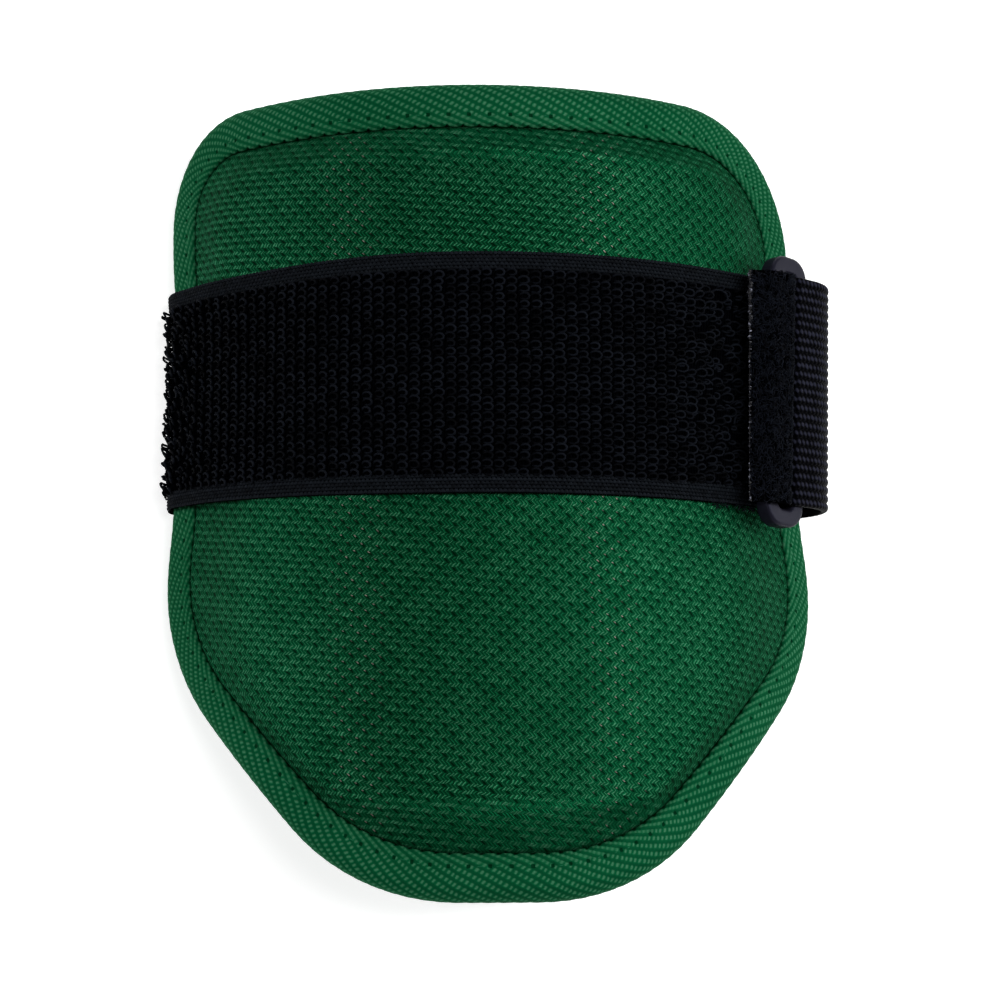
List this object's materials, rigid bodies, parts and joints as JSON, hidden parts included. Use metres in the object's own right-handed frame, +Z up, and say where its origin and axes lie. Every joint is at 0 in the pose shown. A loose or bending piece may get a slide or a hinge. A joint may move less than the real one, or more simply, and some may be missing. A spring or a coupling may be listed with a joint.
{
  "type": "batter's elbow guard",
  "caption": "Padded half-tube elbow guard with a raised knit panel and a bound rim, worn on the arm with an elastic strap that runs through a plastic ring to ribbed webbing.",
  "frame": {"origin": "on the surface that the guard lies on, below the middle of the strap's back run", "axes": "+Y along the arm towards the shoulder end, +Z up out of the guard's convex face, +X across the arm towards the ring"},
  "size_m": [0.1497, 0.1723, 0.0483],
  "materials": {
    "cover_fabric": "dark green open-knit nylon with a dry sheen",
    "binding_tape": "green twill tape, slightly brighter than the cover",
    "strap_elastic": "black elastic with an un-napped loop pile and flat selvages",
    "strap_webbing": "black ribbed nylon webbing",
    "ring_plastic": "satin black moulded plastic"
  },
  "bodies": {
    "root": {"guard_pad": "cover_fabric", "edge_binding": "binding_tape", "elastic_strap": "strap_elastic", "webbing_strap": "strap_webbing", "buckle_ring": "ring_plastic"}
  },
  "joints": []
}
